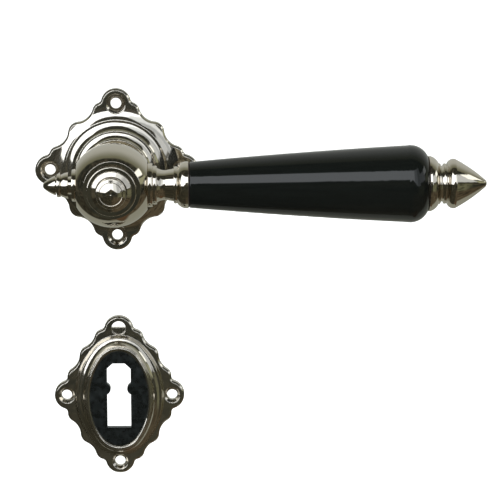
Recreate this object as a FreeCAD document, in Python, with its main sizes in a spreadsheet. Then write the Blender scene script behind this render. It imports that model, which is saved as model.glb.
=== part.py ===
import FreeCAD, Part
import math
import os
import Sketcher

# Lever handle on a scalloped rose, with the oval keyhole escutcheon of the same set.
# Origin: the spindle's axis at the face of the door. +X runs along the lever towards the
# grip's end, -Y points out of the door at the user and +Z is up. All sizes are millimetres.
# Heights are measured from the face of the door, so a height is the same number along -Y.

doc = FreeCAD.newDocument("lever_handle")

# Driving sizes: name, value and what it is.
SIZES = [
    # Rose: the scalloped base with its four screw ears
    ("ear_reach", 0.8, "distance of the rose's screw holes outside the foot of its outer cove"),
    ("screw_hole_r", 1.65, "screw hole"),
    ("sink_r", 3.0, "mouth of a screw hole's countersink on the rose"),
    ("sink_land", 0.15, "flat left round that countersink where the cove is cut back for it"),
    ("ear_r", 4.6, "rounding of an ear"),
    ("shoulder_inset", 1.3, "distance of the shoulders' middles inside the foot of the outer cove"),
    ("shoulder_angle", 13.7, "degrees between an ear and its shoulder"),
    ("shoulder_r", 2.9, "rounding of a shoulder"),
    ("bump_inset", 3.5, "distance of the bumps' middles inside the foot of the outer cove"),
    ("bump_r", 3.3, "rounding of a bump between the shoulders"),
    ("scallop_r", 5.5, "hollow between a shoulder and a bump"),
    ("ear_blend_r", 1.4, "hollow between an ear and its shoulder"),
    ("plate_thick", 2.5, "thickness of the scalloped base"),
    ("edge_bevel", 0.5, "bevel round the front edge of the base"),
    # Rose: the stepped rings, from the front land outwards
    ("rose_land", 0.35, "front land between the bush's boss and the inner lip"),
    ("inner_cove", 2.5, "width of the inner cove"),
    ("middle_cove", 3.2, "width of the middle cove"),
    ("outer_cove", 4.0, "width of the outer cove"),
    ("rose_first_rise", 1.5, "rise of the outer cove"),
    ("rose_rise", 1.9, "rise of each of the two inner coves"),
    ("wall", 2.0, "wall of the hollow castings"),
    # Bush, washers and retaining ring on the shank
    ("shank_r", 7.0, "shank that turns in the bush"),
    ("running_fit", 0.05, "radial clearance of the shank in the bush"),
    ("washer_fit", 0.2, "radial clearance of the washers on the shank"),
    ("bush_wall", 1.4, "wall of the bush"),
    ("flange_edge", 0.4, "how far the flange of the bush stands out past the thrust washer"),
    ("bush_flange", 0.7, "thickness of that flange"),
    ("boss_wall", 1.3, "wall of the rose round the bush"),
    ("boss_back", 3.6, "height of the back of that wall"),
    ("thrust_edge", 0.3, "how far the thrust washer stands out past the flange on the neck"),
    ("thrust_thick", 0.6, "thickness of the thrust washer"),
    ("end_float", 0.1, "play of the lever along the spindle"),
    ("dish_thick", 0.4, "strip of the dished washer"),
    ("dish_rise", 0.6, "rise of the dished washer"),
    ("ring_thick", 1.0, "thickness of the retaining ring"),
    ("ring_groove", 0.7, "depth of the groove for the retaining ring"),
    ("ring_width", 1.7, "width of the retaining ring across its strip"),
    ("ring_gap", 28.0, "degrees left open in the retaining ring"),
    ("shank_back", 0.6, "height of the shank's end"),
    # Ball with its neck
    ("stand_off", 31.5, "height of the lever's axis above the door"),
    ("ball_r", 12.6, "ball"),
    ("neck_shoulder", 0.6, "how much thicker the neck behind the ball is than the shank"),
    ("neck_flare_out", 1.2, "how far the flange at the foot of that neck stands out"),
    ("neck_flare", 0.8, "thickness of that flange"),
    ("neck_flare_rise", 1.2, "length of the hollow above that flange"),
    ("neck_flare_sag", 0.4, "curve of that hollow"),
    ("front_cap", 3.3, "height of the cap turned off the ball for its front flat"),
    ("tail_cap", 1.9, "height of the cap cut off the ball for its tail flat"),
    ("neck_cap", 2.3, "height of the cap cut off the ball for its neck flat"),
    # Spindle and its screw
    ("spindle_side", 8.0, "side of the square spindle"),
    ("spindle_fit", 0.05, "clearance on each side of the spindle"),
    ("spindle_out", 50.0, "length of the spindle behind the door's face"),
    ("spindle_in", 19.0, "height of the spindle's inner end"),
    ("spindle_bevel", 0.8, "bevel on the spindle's free end"),
    ("grub_r", 2.5, "set screw"),
    ("grub_height", 14.0, "height of the set screw"),
    ("grub_inset", 0.3, "how far the set screw lies inside the neck"),
    ("grub_socket_r", 1.45, "hexagon socket across its corners, as a radius"),
    ("grub_socket_deep", 1.6, "depth of that socket"),
    # Stepped collar and button on the front of the ball
    ("collar_r", 7.35, "flange of the front collar"),
    ("collar_flange", 2.7, "thickness of that flange"),
    ("collar_round", 0.35, "rounding of that flange's edge"),
    ("collar_ledge", 1.35, "width of the ledge left on that flange"),
    ("collar_step", 0.5, "rise of the step on that flange"),
    ("step_round", 0.2, "rounding of that step's edge"),
    ("collar_slope", 1.1, "width of the slope on that step"),
    ("collar_slope_rise", 0.5, "rise of that slope"),
    ("button_r", 4.5, "button"),
    ("button_wall", 2.8, "height of the button's wall above the collar"),
    ("button_round", 0.3, "rounding of the button's edge"),
    ("button_slope", 0.7, "width of the slope inside that edge"),
    ("button_slope_rise", 0.4, "rise of that slope"),
    ("button_quirk", 0.15, "width and depth of the fine step round the dome"),
    ("button_dome", 0.95, "height of the dome"),
    ("stud_r", 2.0, "stud of the button"),
    ("stud_in", 5.0, "reach of that stud into the ball"),
    # Tail
    ("ring_crown", 0.12, "roundness of the narrow turned rings"),
    ("tail_collar_r", 4.65, "ring of the tail collar"),
    ("tail_collar", 1.4, "length of that ring"),
    ("tail_neck_r", 2.6, "neck after that ring"),
    ("tail_neck", 1.1, "length of that neck"),
    ("tail_cup_r", 3.9, "wide end of the tail's cup"),
    ("tail_cup_end_r", 3.1, "narrow end of that cup"),
    ("tail_cup", 2.35, "length of that cup"),
    ("tail_cup_sag", 0.15, "swelling of that cup"),
    ("tail_bead_r", 3.4, "bead after the cup"),
    ("tail_bead", 1.0, "length of that bead"),
    ("tail_groove_r", 2.4, "groove between the bead and the cone"),
    ("tail_groove", 0.45, "width of that groove"),
    ("tail_cone_r", 2.95, "root of the tail's cone"),
    ("tail_cone", 3.3, "length of that cone"),
    ("tail_cone_sag", 0.15, "swelling of that cone"),
    ("tail_tip_r", 1.05, "root of the rounded tip"),
    ("tail_tip_length", 0.45, "length of that tip"),
    ("tail_stud_r", 1.5, "stud between the ball and the tail"),
    ("tail_stud_in", 5.0, "reach of that stud into the ball"),
    ("tail_stud_out", 3.5, "reach of that stud into the finial"),
    # Neck between the ball and the grip
    ("neck_ring_r", 6.4, "ring that sits on the ball"),
    ("neck_ring", 1.5, "length of that ring"),
    ("neck_bead_r", 5.65, "bead after that ring"),
    ("neck_bead", 1.3, "length of that bead"),
    ("neck_hollow_r", 5.1, "start of the neck's hollow"),
    ("waist_r", 4.42, "narrowest radius of the neck"),
    ("neck_hollow", 2.5, "length from the bead to the waist"),
    ("neck_rise", 2.5, "length from the waist to the next ring"),
    ("neck_rise_r", 4.9, "end of the neck's hollow"),
    ("neck_hollow_sag", 0.2, "curve of the neck's hollow"),
    ("neck_lip_r", 5.4, "ring before the ferrule"),
    ("neck_lip", 1.1, "length of that ring"),
    ("ferrule_root_r", 5.6, "small end of the ferrule"),
    ("ferrule_r", 6.95, "large end of the ferrule"),
    ("ferrule_cup", 2.4, "length of the ferrule's cup"),
    ("ferrule_cup_sag", 0.3, "swelling of that cup"),
    ("ferrule_band", 0.8, "length of the ferrule's straight band"),
    # Grip
    ("grip_length", 70.6, "length of the grip between its washers"),
    ("grip_root_r", 6.85, "thin end of the grip"),
    ("grip_root_round", 0.5, "rounding of the thin end"),
    ("grip_r", 11.4, "fattest radius of the grip"),
    ("grip_swell", 0.3, "swelling of the grip's taper"),
    ("grip_shoulder", 6.1, "length of the rounded shoulder at the fat end"),
    ("grip_shoulder_sag", 1.15, "swelling of that shoulder"),
    ("grip_end_r", 8.35, "fat end of the grip where the ferrule sits"),
    ("grip_bore_fit", 0.3, "clearance of the tie rod in the grip"),
    ("pad_thick", 0.3, "thickness of the fibre washers"),
    ("pad_inset", 0.3, "how far a fibre washer stays inside its ferrule"),
    # End of the lever
    ("end_ferrule_r", 8.2, "large end of the end ferrule"),
    ("end_ferrule_band", 0.6, "straight band of the end ferrule"),
    ("end_ferrule_neck_r", 6.3, "small end of the end ferrule"),
    ("end_ferrule", 2.3, "length of the end ferrule's curve"),
    ("end_ferrule_sag", 0.3, "swelling of that curve"),
    ("end_ring_r", 5.95, "thin ring of the end collar"),
    ("end_ring", 0.6, "length of that ring"),
    ("end_waist_r", 5.45, "waist of the end collar"),
    ("end_waist", 0.9, "length of that waist"),
    ("end_waist_sag", 0.12, "hollow of that waist"),
    ("end_lip_r", 5.9, "outer ring of the end collar"),
    ("end_lip", 0.8, "length of that ring"),
    ("finial_seat_r", 5.3, "groove between the end collar and the finial"),
    ("finial_seat", 0.35, "length of that groove"),
    ("finial_root_r", 6.2, "back of the finial's swelling"),
    ("finial_cone_r", 7.35, "root of the finial's cone"),
    ("finial_swell", 2.3, "length of the finial's swelling"),
    ("finial_swell_sag", 0.45, "roundness of that swelling"),
    ("finial_cone", 8.7, "length of the finial's cone"),
    ("finial_cone_sag", 0.3, "swelling of that cone"),
    ("finial_tip_r", 1.4, "root of the rounded tip"),
    ("finial_tip_length", 0.8, "length of that tip"),
    ("rod_r", 2.5, "tie rod"),
    ("rod_in", 4.5, "reach of the rod into the ball"),
    ("rod_out", 5.5, "reach of the rod into the end finial"),
    # Escutcheon: its outline, as distances from its middle
    ("escutcheon_drop", 72.0, "distance of its middle below the spindle"),
    ("foot_x", 14.1, "foot of the raised oval, across, as a half width"),
    ("foot_z", 19.5, "the same, up, as a half height"),
    ("side_hole_reach", 2.55, "distance of the side holes outside that foot"),
    ("end_hole_reach", 2.2, "distance of the end holes outside that foot"),
    ("ear_inset", 0.8, "distance of an ear's middle inside its hole"),
    ("side_shoulder_inset", 0.6, "shoulders beside the side ears, inside the foot's half width"),
    ("side_shoulder_z", 5.85, "the same shoulders, up"),
    ("oval_bump_inset", 4.95, "bumps between the ears, inside the foot's half width"),
    ("oval_bump_drop", 7.0, "the same bumps, below the foot's half height"),
    ("end_shoulder_x", 4.8, "shoulders beside the end ears, across"),
    ("end_shoulder_drop", 1.3, "the same shoulders, below the foot's half height"),
    ("oval_sink_r", 2.55, "mouth of its countersinks"),
    ("peep_r", 2.25, "wider hole in the top ear"),
    ("peep_ledge", 1.3, "height of the ledge in that hole's lower half"),
    # Escutcheon: its raised oval, from the foot inwards
    ("oval_end", 0.72, "radius of an oval's ends as a part of its half width"),
    ("oval_step_x", 0.7, "width of the outer step at the sides"),
    ("oval_step_z", 0.6, "width of the outer step at the ends"),
    ("oval_cove_x", 2.9, "width of the cove at the sides"),
    ("oval_cove_z", 2.1, "width of the cove at the ends"),
    ("bead_inset", 0.3, "distance of the bead round the field from the inner lip"),
    ("bead_width", 0.85, "width of that bead"),
    ("bead_rise", 0.4, "height of that bead"),
    ("bead_round", 0.3, "rounding of that bead's edges"),
    ("field_deep", 0.4, "depth of the field inside the bead"),
    ("oval_first_rise", 1.5, "rise of the outer step"),
    ("oval_rise", 2.8, "rise of the cove"),
    ("cove_turn", 70.0, "degrees that the cove turns from level to steep"),
    # Keyhole
    ("keyhole_half", 3.75, "half the width of the keyhole"),
    ("keyhole_top", 11.4, "top of the keyhole above the middle"),
    ("keyhole_bottom", 9.3, "bottom of the keyhole below the middle"),
    ("keyhole_flat", 1.9, "half the width of the keyhole's flat top"),
    ("keyhole_corner", 1.7, "height of the keyhole's slanted corners"),
    ("nub_top", 4.9, "top of the two nubs above the middle"),
    ("nub_bottom", 1.4, "bottom of the same"),
    ("nub_out", 1.15, "how far the nubs stand into the keyhole"),
]

# Places that follow from the sizes: name and formula. A name without Sizes is a place.
PLACES = [
    # Shank, neck and bush, from the shank outwards
    ("neck_r", "Sizes.shank_r + Sizes.neck_shoulder"),
    ("neck_flare_r", "neck_r + Sizes.neck_flare_out"),
    ("thrust_r", "neck_flare_r + Sizes.thrust_edge"),
    ("bush_flange_r", "thrust_r + Sizes.flange_edge"),
    ("bush_bore_r", "Sizes.shank_r + Sizes.running_fit"),
    ("bush_r", "bush_bore_r + Sizes.bush_wall"),
    ("boss_r", "bush_r + Sizes.boss_wall"),
    # Rings of the rose. A cove starts level with the land inside a lip and ends steep.
    ("rose_lip_inner_r", "boss_r + Sizes.rose_land"),
    ("rose_lip_middle_r", "rose_lip_inner_r + Sizes.inner_cove"),
    ("rose_lip_outer_r", "rose_lip_middle_r + Sizes.middle_cove"),
    ("rose_foot_r", "rose_lip_outer_r + Sizes.outer_cove"),
    ("rose_low", "Sizes.plate_thick + Sizes.rose_first_rise"),
    ("rose_middle", "rose_low + Sizes.rose_rise"),
    ("rose_front", "rose_middle + Sizes.rose_rise"),
    ("outer_cove_angle", "atan(Sizes.rose_first_rise / Sizes.outer_cove)"),
    ("outer_cove_chord", "Sizes.outer_cove / cos(outer_cove_angle)"),
    ("outer_cove_sag", "outer_cove_chord / 2 * tan(outer_cove_angle / 2)"),
    ("middle_cove_angle", "atan(Sizes.rose_rise / Sizes.middle_cove)"),
    ("middle_cove_chord", "Sizes.middle_cove / cos(middle_cove_angle)"),
    ("middle_cove_sag", "middle_cove_chord / 2 * tan(middle_cove_angle / 2)"),
    ("inner_cove_angle", "atan(Sizes.rose_rise / Sizes.inner_cove)"),
    ("inner_cove_chord", "Sizes.inner_cove / cos(inner_cove_angle)"),
    ("inner_cove_sag", "inner_cove_chord / 2 * tan(inner_cove_angle / 2)"),
    # Outline of the rose
    ("screw_circle_r", "rose_foot_r + Sizes.ear_reach"),
    ("shoulder_circle_r", "rose_foot_r - Sizes.shoulder_inset"),
    ("shoulder_near", "shoulder_circle_r * sin(Sizes.shoulder_angle)"),
    ("shoulder_far", "shoulder_circle_r * cos(Sizes.shoulder_angle)"),
    ("bump_side", "(rose_foot_r - Sizes.bump_inset) * sin(45)"),
    ("seat_r", "Sizes.sink_r + Sizes.sink_land"),
    ("clear_r", "screw_circle_r + 2 * Sizes.ear_r"),
    ("clear_front", "rose_front + Sizes.wall"),
    ("hollow_r", "rose_lip_outer_r - Sizes.wall"),
    ("hollow_low", "rose_low - Sizes.wall"),
    ("hollow_top", "rose_front - Sizes.wall"),
    # Stack along the shank
    ("washer_bore_r", "Sizes.shank_r + Sizes.washer_fit"),
    ("bush_front", "rose_front + Sizes.bush_flange"),
    ("thrust_front", "bush_front + Sizes.thrust_thick"),
    ("flare_back", "thrust_front + Sizes.end_float"),
    ("flare_front", "flare_back + Sizes.neck_flare"),
    ("neck_root", "flare_front + Sizes.neck_flare_rise"),
    ("dish_back", "Sizes.boss_back - Sizes.dish_rise - Sizes.dish_thick"),
    ("dish_inner_front", "dish_back + Sizes.dish_thick"),
    ("dish_outer_back", "Sizes.boss_back - Sizes.dish_thick"),
    ("groove_back", "dish_back - Sizes.ring_thick - Sizes.end_float"),
    ("ring_front", "dish_back - Sizes.end_float / 2"),
    ("ring_back", "ring_front - Sizes.ring_thick"),
    ("ring_bore_r", "Sizes.shank_r - Sizes.ring_groove"),
    ("ring_r", "ring_bore_r + Sizes.ring_width"),
    ("ring_turn", "360 - Sizes.ring_gap"),
    # Ball, spindle and set screw
    ("ball_back", "Sizes.stand_off - sqrt(Sizes.ball_r ^ 2 - neck_r ^ 2)"),
    ("front_seat", "Sizes.ball_r - Sizes.front_cap"),
    ("tail_seat", "Sizes.ball_r - Sizes.tail_cap"),
    ("neck_seat", "Sizes.ball_r - Sizes.neck_cap"),
    ("ball_front", "Sizes.stand_off + front_seat"),
    ("front_seat_r", "sqrt(Sizes.ball_r ^ 2 - front_seat ^ 2)"),
    ("socket_half", "Sizes.spindle_side / 2 + Sizes.spindle_fit"),
    ("socket_deep", "Sizes.spindle_in - Sizes.shank_back"),
    ("spindle_half", "Sizes.spindle_side / 2"),
    ("spindle_length", "Sizes.spindle_in + Sizes.spindle_out"),
    ("grub_length", "neck_r - Sizes.grub_inset - spindle_half"),
    ("grub_end", "neck_r - Sizes.grub_inset"),
    ("hex_side", "Sizes.grub_socket_r * cos(60)"),
    ("hex_flat", "Sizes.grub_socket_r * sin(60)"),
    # Front collar and button
    ("collar_front", "ball_front + Sizes.collar_flange"),
    ("collar_edge", "collar_front - Sizes.collar_round"),
    ("collar_rim_r", "Sizes.collar_r - Sizes.collar_round"),
    ("collar_step_r", "Sizes.collar_r - Sizes.collar_ledge"),
    ("step_front", "collar_front + Sizes.collar_step"),
    ("step_edge", "step_front - Sizes.step_round"),
    ("step_rim_r", "collar_step_r - Sizes.step_round"),
    ("slope_front", "step_front + Sizes.collar_slope_rise"),
    ("slope_r", "step_rim_r - Sizes.collar_slope"),
    ("button_edge", "slope_front + Sizes.button_wall"),
    ("button_lip", "button_edge + Sizes.button_round"),
    ("button_lip_r", "Sizes.button_r - Sizes.button_round"),
    ("button_face", "button_lip + Sizes.button_slope_rise"),
    ("button_face_r", "button_lip_r - Sizes.button_slope"),
    ("dome_root", "button_face - Sizes.button_quirk"),
    ("dome_r", "button_face_r - Sizes.button_quirk"),
    ("dome_round", "(dome_r ^ 2 + Sizes.button_dome ^ 2) / (2 * Sizes.button_dome)"),
    ("button_front", "dome_root + Sizes.button_dome"),
    ("stud_back", "ball_front - Sizes.stud_in"),
    # Tail, as distances from the ball's middle towards -X
    ("tail_collar_end", "tail_seat + Sizes.tail_collar"),
    ("tail_neck_end", "tail_collar_end + Sizes.tail_neck"),
    ("tail_cup_end", "tail_neck_end + Sizes.tail_cup"),
    ("tail_bead_end", "tail_cup_end + Sizes.tail_bead"),
    ("tail_groove_end", "tail_bead_end + Sizes.tail_groove"),
    ("tail_cone_end", "tail_groove_end + Sizes.tail_cone"),
    ("tail_tip", "tail_cone_end + Sizes.tail_tip_length"),
    ("tail_tip_round",
     "(Sizes.tail_tip_r ^ 2 + Sizes.tail_tip_length ^ 2) / (2 * Sizes.tail_tip_length)"),
    ("tail_stud_root", "tail_seat - Sizes.tail_stud_in"),
    ("tail_stud_tip", "tail_neck_end + Sizes.tail_stud_out"),
    # Neck, grip and end, as distances from the ball's middle towards +X
    ("neck_ring_end", "neck_seat + Sizes.neck_ring"),
    ("neck_bead_end", "neck_ring_end + Sizes.neck_bead"),
    ("waist_x", "neck_bead_end + Sizes.neck_hollow"),
    ("neck_rise_end", "waist_x + Sizes.neck_rise"),
    ("neck_end", "neck_rise_end + Sizes.neck_lip"),
    ("ferrule_cup_end", "neck_end + Sizes.ferrule_cup"),
    ("ferrule_end", "ferrule_cup_end + Sizes.ferrule_band"),
    ("pad_root_r", "Sizes.ferrule_r - Sizes.pad_inset"),
    ("grip_start", "ferrule_end + Sizes.pad_thick"),
    ("grip_round_end", "grip_start + Sizes.grip_root_round"),
    ("grip_start_r", "Sizes.grip_root_r - Sizes.grip_root_round"),
    ("grip_end", "grip_start + Sizes.grip_length"),
    ("grip_fat", "grip_end - Sizes.grip_shoulder"),
    ("grip_bore_r", "Sizes.rod_r + Sizes.grip_bore_fit"),
    ("pad_end_r", "Sizes.end_ferrule_r - Sizes.pad_inset"),
    ("end_ferrule_start", "grip_end + Sizes.pad_thick"),
    ("end_band_end", "end_ferrule_start + Sizes.end_ferrule_band"),
    ("end_ferrule_end", "end_band_end + Sizes.end_ferrule"),
    ("end_ring_end", "end_ferrule_end + Sizes.end_ring"),
    ("end_waist_end", "end_ring_end + Sizes.end_waist"),
    ("end_lip_end", "end_waist_end + Sizes.end_lip"),
    ("finial_seat_end", "end_lip_end + Sizes.finial_seat"),
    ("finial_swell_end", "finial_seat_end + Sizes.finial_swell"),
    ("finial_cone_end", "finial_swell_end + Sizes.finial_cone"),
    ("finial_tip", "finial_cone_end + Sizes.finial_tip_length"),
    ("finial_tip_round",
     "(Sizes.finial_tip_r ^ 2 + Sizes.finial_tip_length ^ 2) / (2 * Sizes.finial_tip_length)"),
    ("rod_start", "neck_seat - Sizes.rod_in"),
    ("rod_end", "end_lip_end + Sizes.rod_out"),
    # Escutcheon, as distances from its middle
    ("side_hole_x", "Sizes.foot_x + Sizes.side_hole_reach"),
    ("end_hole_z", "Sizes.foot_z + Sizes.end_hole_reach"),
    ("side_ear_x", "side_hole_x - Sizes.ear_inset"),
    ("end_ear_z", "end_hole_z - Sizes.ear_inset"),
    ("side_shoulder_x", "Sizes.foot_x - Sizes.side_shoulder_inset"),
    ("oval_bump_x", "Sizes.foot_x - Sizes.oval_bump_inset"),
    ("oval_bump_z", "Sizes.foot_z - Sizes.oval_bump_drop"),
    ("end_shoulder_z", "Sizes.foot_z - Sizes.end_shoulder_drop"),
    ("oval_low", "Sizes.plate_thick + Sizes.oval_first_rise"),
    ("oval_high", "oval_low + Sizes.oval_rise"),
    ("lip_x", "Sizes.foot_x - Sizes.oval_step_x"),
    ("lip_z", "Sizes.foot_z - Sizes.oval_step_z"),
    ("crest_x", "lip_x - Sizes.oval_cove_x"),
    ("crest_z", "lip_z - Sizes.oval_cove_z"),
    ("bead_x", "crest_x - Sizes.bead_inset"),
    ("bead_z", "crest_z - Sizes.bead_inset"),
    ("field_x", "bead_x - Sizes.bead_width"),
    ("field_z", "bead_z - Sizes.bead_width"),
    ("bead_front", "oval_high + Sizes.bead_rise"),
    ("hollow_x", "field_x - Sizes.wall / 2"),
    ("hollow_z", "field_z - Sizes.wall / 2"),
    ("hollow_deep", "bead_front - Sizes.field_deep - Sizes.wall"),
    ("keyhole_slant", "Sizes.keyhole_top - Sizes.keyhole_corner"),
    ("peep_deep", "Sizes.plate_thick - Sizes.peep_ledge"),
    ("peep_crown", "end_hole_z + Sizes.peep_r"),
]

# Sections of the escutcheon's cove, which starts level at the outer lip and ends steep.
COVE_SECTIONS = 3
for index in range(1, COVE_SECTIONS):
    turned = "Sizes.cove_turn * %d / %d" % (index, COVE_SECTIONS)
    inward = "sin(%s) / sin(Sizes.cove_turn)" % turned
    upward = "(1 - cos(%s)) / (1 - cos(Sizes.cove_turn))" % turned
    for axis in ("x", "z"):
        formula = "lip_%s - Sizes.oval_cove_%s * %s" % (axis, axis, inward)
        PLACES.append(("cove_%s_%d" % (axis, index), formula))
    PLACES.append(("cove_high_%d" % index, "oval_low + Sizes.oval_rise * " + upward))

sheet = doc.addObject("Spreadsheet::Sheet", "Sizes")
for row, (name, amount, meaning) in enumerate(SIZES, start=1):
    sheet.set("A%d" % row, meaning)
    sheet.set("B%d" % row, str(amount))
    sheet.setAlias("B%d" % row, name)
places = doc.addObject("Spreadsheet::Sheet", "Places")
doc.recompute()
for row, (name, formula) in enumerate(PLACES, start=1):
    places.setAlias("B%d" % row, name)
for row, (name, formula) in enumerate(PLACES, start=1):
    places.set("B%d" % row, "=" + formula)
doc.recompute()
SIZE_NAMES = [name for name, amount, meaning in SIZES]


def cell(word):
    """A named size or place as an expression; a minus in front turns its sign."""
    name = word.lstrip("-")
    text = ("Sizes." if name in SIZE_NAMES else "Places.") + name
    return "-" + text if word.startswith("-") else text


def number(word):
    """The same size or place as a number of millimetres."""
    name = word.lstrip("-")
    amount = float((sheet if name in SIZE_NAMES else places).get(name))
    return -amount if word.startswith("-") else amount


def new_body(label):
    body = doc.addObject("PartDesign::Body", label)
    body.Label = label
    return body


def new_sketch(body, name, plane, height=None):
    """A sketch on one of the body's own planes, raised along that plane's normal."""
    sketch = body.newObject("Sketcher::SketchObject", name)
    for feature in body.Origin.OriginFeatures:
        if feature.Role == plane:
            sketch.AttachmentSupport = [(feature, "")]
    sketch.MapMode = "FlatFace"
    if height:
        sketch.AttachmentOffset = FreeCAD.Placement(
            FreeCAD.Vector(0, 0, number(height)), FreeCAD.Rotation())
        sketch.setExpression("AttachmentOffset.Base.z", cell(height))
    return sketch


def bind(sketch, constraint, text):
    """Adds a constraint whose value follows an expression."""
    index = sketch.addConstraint(constraint)
    sketch.setExpression("Constraints[%d]" % index, text)


def pin(sketch, geometry, position, x, y):
    """Ties a point of the sketch to named distances from its origin; None is the axis."""
    for word, kind, axis in ((x, "DistanceX", -2), (y, "DistanceY", -1)):
        if word is None:
            sketch.addConstraint(Sketcher.Constraint("PointOnObject", geometry, position, axis))
        else:
            place = Sketcher.Constraint(kind, -1, 1, geometry, position, number(word))
            bind(sketch, place, cell(word))


def spot(x, y):
    return FreeCAD.Vector(number(x) if x else 0.0, number(y) if y else 0.0, 0.0)


def sagitta(start, end, kind, word):
    """How far an arc stands to the left of the line from start to end."""
    if kind == "sag":
        return number(word)
    radius = number(word)
    chord = end.distanceToPoint(start)
    return radius - math.sqrt(radius ** 2 - chord ** 2 / 4)


def arc_through(start, end, sag):
    """Arc from start to end that stands sag to the left, and whether it runs backwards."""
    chord = end - start
    left = FreeCAD.Vector(-chord.y, chord.x, 0).normalize()
    radius = (chord.Length ** 2 / 4 + sag ** 2) / (2 * abs(sag))
    side = math.copysign(1.0, sag)
    middle = (start + end) / 2 - left * side * (radius - abs(sag))
    first, last = (end, start) if sag > 0 else (start, end)
    angle_first = math.atan2(first.y - middle.y, first.x - middle.x)
    angle_last = math.atan2(last.y - middle.y, last.x - middle.x)
    if angle_last < angle_first:
        angle_last += 2 * math.pi
    circle = Part.Circle(middle, FreeCAD.Vector(0, 0, 1), radius)
    return Part.ArcOfCircle(circle, angle_first, angle_last), radius, sag > 0


def radius_formula(a, b, word):
    """Expression for the radius of an arc between two pinned points from its sagitta."""
    spans = []
    for first, second in zip(a[:2], b[:2]):
        spans.append("(%s - (%s))" % (cell(first) if first else "0", cell(second) if second else "0"))
    size = cell(word.lstrip("-"))
    return "(%s ^ 2 + %s ^ 2) / (8 * %s) + %s / 2" % (spans[0], spans[1], size, size)


def draw_path(sketch, points):
    """Closed outline. A point is (x, y), or (x, y, kind, size) where an arc follows it:
    kind sag gives how far the arc stands out, kind radius gives its radius. Arcs swell to
    the left of the way the points run, and to the right where the size has a minus."""
    ends = []
    for index, point in enumerate(points):
        following = points[(index + 1) % len(points)]
        start, end = spot(*point[:2]), spot(*following[:2])
        if len(point) == 2:
            geometry = sketch.addGeometry(Part.LineSegment(start, end), False)
            ends.append((geometry, 1, 2))
        else:
            kind, word = point[2:]
            arc, radius, backwards = arc_through(start, end, sagitta(start, end, kind, word))
            geometry = sketch.addGeometry(arc, False)
            ends.append((geometry, 2, 1) if backwards else (geometry, 1, 2))
            text = cell(word) if kind == "radius" else radius_formula(point, following, word)
            bind(sketch, Sketcher.Constraint("Radius", geometry, radius), text)
    for index, point in enumerate(points):
        geometry, first, last = ends[index]
        following = ends[(index + 1) % len(points)]
        sketch.addConstraint(
            Sketcher.Constraint("Coincident", geometry, last, following[0], following[1]))
        pin(sketch, geometry, first, *point[:2])


def draw_circle(sketch, x, y, radius):
    circle = Part.Circle(spot(x, y), FreeCAD.Vector(0, 0, 1), number(radius))
    geometry = sketch.addGeometry(circle, False)
    pin(sketch, geometry, 3, x, y)
    bind(sketch, Sketcher.Constraint("Radius", geometry, number(radius)), cell(radius))


def draw_rectangle(sketch, half):
    low = "-" + half
    draw_path(sketch, [(low, low), (half, low), (half, half), (low, half)])


def turn_about(middle, start, end):
    """Angles of an arc about a middle, from start round to end, counter-clockwise."""
    first = math.atan2(start.y - middle.y, start.x - middle.x)
    last = math.atan2(end.y - middle.y, end.x - middle.x)
    return first, last + 2 * math.pi if last < first else last


def draw_tangent_arcs(sketch, rounds):
    """Closed outline of arcs that flow into each other. A round is (x, y, radius, hollow),
    in counter-clockwise order, and hollow is the radius of the dip that follows it."""
    axis = FreeCAD.Vector(0, 0, 1)
    dips = []
    for index, (x, y, radius, hollow) in enumerate(rounds):
        following = rounds[(index + 1) % len(rounds)]
        near, far = spot(x, y), spot(*following[:2])
        span = far - near
        reach_near = number(radius) + number(hollow)
        reach_far = number(following[2]) + number(hollow)
        along = (reach_near ** 2 - reach_far ** 2 + span.Length ** 2) / (2 * span.Length)
        out = math.sqrt(reach_near ** 2 - along ** 2)
        ahead = FreeCAD.Vector(span).normalize()
        dips.append(near + ahead * along + FreeCAD.Vector(ahead.y, -ahead.x, 0) * out)
    arcs = []
    for index, (x, y, radius, hollow) in enumerate(rounds):
        middle, size = spot(x, y), number(radius)
        before, after = dips[index - 1], dips[index]
        start = middle + (before - middle).normalize() * size
        end = middle + (after - middle).normalize() * size
        circle = Part.Circle(middle, axis, size)
        geometry = sketch.addGeometry(Part.ArcOfCircle(circle, *turn_about(middle, start, end)), False)
        pin(sketch, geometry, 3, x, y)
        bind(sketch, Sketcher.Constraint("Radius", geometry, size), cell(radius))
        arcs.append((geometry, 1, 2))
        following = rounds[(index + 1) % len(rounds)]
        far = spot(*following[:2])
        dip_end = far + (after - far).normalize() * number(following[2])
        circle = Part.Circle(after, axis, number(hollow))
        geometry = sketch.addGeometry(Part.ArcOfCircle(circle, *turn_about(after, dip_end, end)), False)
        bind(sketch, Sketcher.Constraint("Radius", geometry, number(hollow)), cell(hollow))
        arcs.append((geometry, 2, 1))
    for index, (geometry, first, last) in enumerate(arcs):
        following = arcs[(index + 1) % len(arcs)]
        sketch.addConstraint(
            Sketcher.Constraint("Tangent", geometry, last, following[0], following[1]))


def draw_ears(sketch, ear, side, bump, end, top, radii):
    """Outline with four ears. ear and top are the ears' distances along x and y; side, bump
    and end are the rounds between them in one quarter, which the others mirror."""
    ear_radius, ear_dip, shoulder_radius, scallop, bump_radius = radii
    quarter = [side + (shoulder_radius, scallop), bump + (bump_radius, scallop),
               end + (shoulder_radius, ear_dip)]
    back = [end + (shoulder_radius, scallop), bump + (bump_radius, scallop),
            side + (shoulder_radius, ear_dip)]
    flip = lambda word: "-" + word
    same = lambda word: word
    rounds = []
    for corner, across, up, run in ((ear, same, same, quarter), (None, flip, same, back),
                                    (ear, flip, flip, quarter), (None, same, flip, back)):
        if corner:
            rounds.append((across(ear), None, ear_radius, ear_dip))
        else:
            rounds.append((None, up(top), ear_radius, ear_dip))
        for x, y, radius, dip in run:
            rounds.append((across(x), up(y), radius, dip))
    draw_tangent_arcs(sketch, rounds)


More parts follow.
